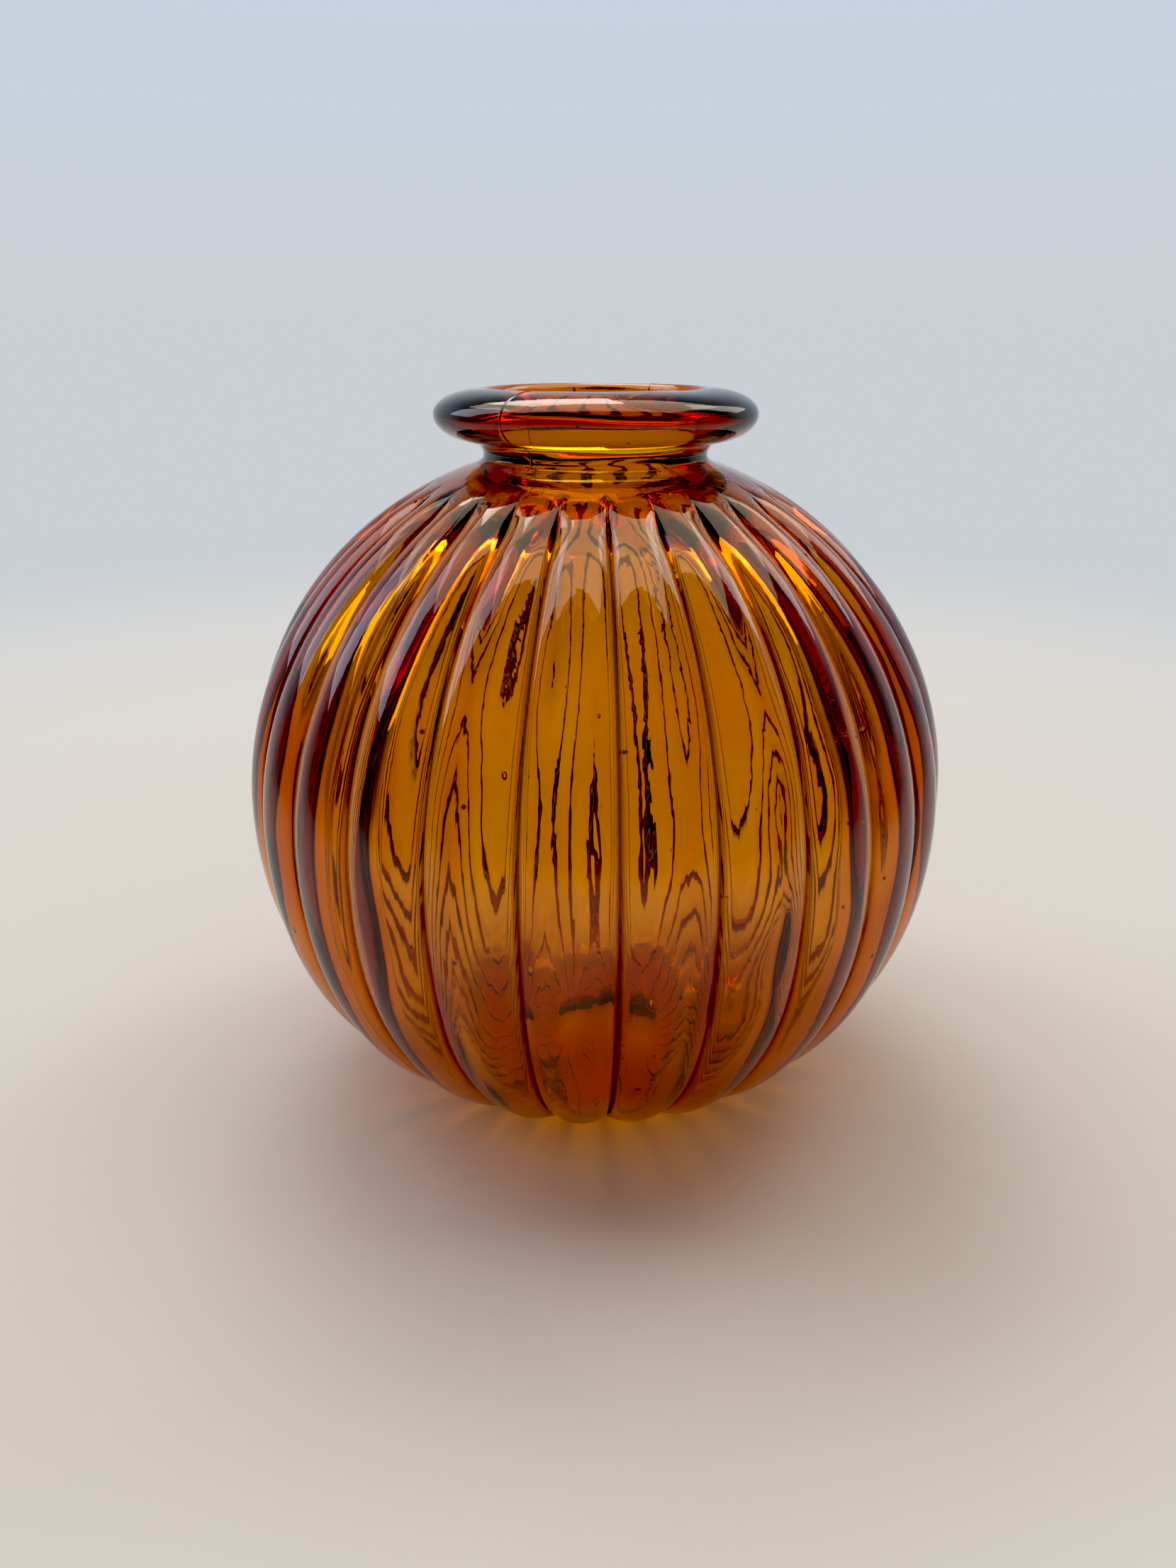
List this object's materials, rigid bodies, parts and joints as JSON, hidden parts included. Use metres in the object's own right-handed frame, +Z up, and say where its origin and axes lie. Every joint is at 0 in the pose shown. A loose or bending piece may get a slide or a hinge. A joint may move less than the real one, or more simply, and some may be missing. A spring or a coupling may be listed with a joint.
{
  "type": "glass bud vase",
  "caption": "Small ribbed ball bud vase in amber glass, with a short waisted neck, a thick rounded lip ring and a flat standing ring.",
  "frame": {"origin": "centre of the flat standing ring, on the surface that the vase stands on", "axes": "+Z up along the vase's axis towards the mouth; -Y is the side seen from the front, +X to its right"},
  "size_m": [0.0882, 0.0882, 0.09],
  "materials": {
    "amber_glass": "gloss, fire-polished"
  },
  "bodies": {
    "root": {"base": "amber_glass", "lower_bowl": "amber_glass", "middle_bowl": "amber_glass", "shoulder": "amber_glass", "neck": "amber_glass", "lip_ring": "amber_glass"}
  },
  "joints": []
}
